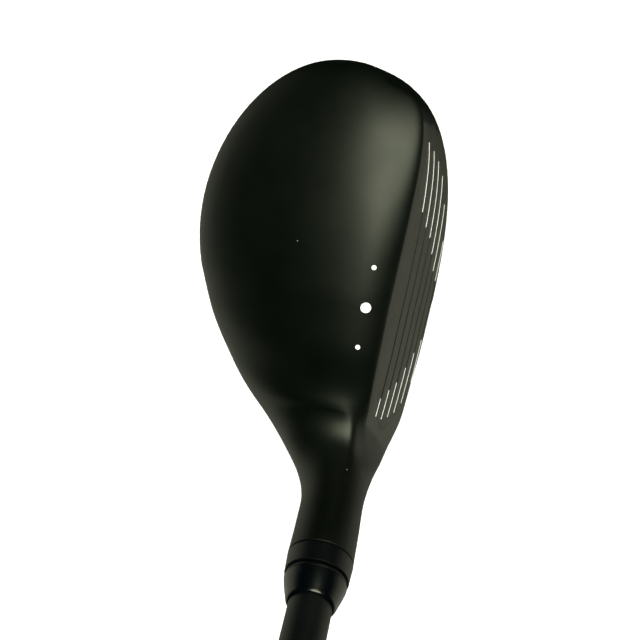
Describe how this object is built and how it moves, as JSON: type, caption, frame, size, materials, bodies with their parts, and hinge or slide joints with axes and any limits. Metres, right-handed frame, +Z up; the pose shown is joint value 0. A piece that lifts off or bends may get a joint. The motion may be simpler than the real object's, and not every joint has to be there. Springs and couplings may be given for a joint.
{
  "type": "hybrid golf club",
  "caption": "Left-handed hybrid golf club: hollow steel head with a grooved face, adjustable hosel sleeve, tapered shaft and rubber grip.",
  "frame": {"origin": "the flat of the sole that rests on the ground, below the middle of the face", "axes": "+X from heel to toe, +Y from the face to the back of the head, +Z up, with the club in the address pose and its face looking towards -Y"},
  "size_m": [0.6112, 0.0653, 0.872],
  "materials": {
    "painted_steel": "matte black paint",
    "face_steel": "dark satin",
    "bare_steel": "satin",
    "weight_metal": "satin tungsten alloy",
    "black_aluminium": "black anodised",
    "black_plastic": "satin to gloss",
    "shaft_composite": "matte black painted carbon fibre",
    "grip_rubber": "matte textured",
    "grip_tape": "paper tape"
  },
  "bodies": {
    "shaft_assembly": {"shaft": "shaft_composite", "hosel_sleeve": "black_aluminium", "ferrule": "black_plastic", "tip_plug": "black_plastic", "grip_tape": "grip_tape", "grip": "grip_rubber", "grip_cap": "grip_rubber"},
    "index_ring": {"index_ring": "black_aluminium"},
    "head": {"head_body": "painted_steel", "crown": "painted_steel", "face_insert": "face_steel", "screw_retainer": "black_plastic", "hosel_screw_washer": "bare_steel"},
    "hosel_screw": {"hosel_screw": "bare_steel"},
    "weight_washer": {"weight_washer": "black_plastic"},
    "rear_weight": {"rear_weight": "weight_metal"}
  },
  "joints": [
    {"name": "loft_index", "type": "hinge", "parent": "index_ring", "child": "shaft_assembly", "pos_m": [-0.0557, 0.0107, 0.0561], "axis": [-0.527, 0, 0.8499], "continuous": true},
    {"name": "head_release", "type": "slide", "parent": "head", "child": "index_ring", "axis": [-0.527, 0, 0.8499], "range_m": [0, 0.045]},
    {"name": "hosel_screw_turn", "type": "hinge", "parent": "head", "child": "hosel_screw", "pos_m": [-0.0557, 0.0107, 0.0561], "axis": [0.527, 0, -0.8499], "continuous": true},
    {"name": "weight_lift", "type": "slide", "parent": "head", "child": "weight_washer", "axis": [0, 0.297, -0.9549], "range_m": [0, 0.006]},
    {"name": "weight_turn", "type": "hinge", "parent": "weight_washer", "child": "rear_weight", "pos_m": [0.008, 0.04479, 0.0049], "axis": [0, 0.297, -0.9549], "range_deg": [0, 2160]}
  ],
  "couplings": [
    {"joint": "weight_lift", "follows": "weight_turn", "m_per_rad": 0.00015915}
  ]
}
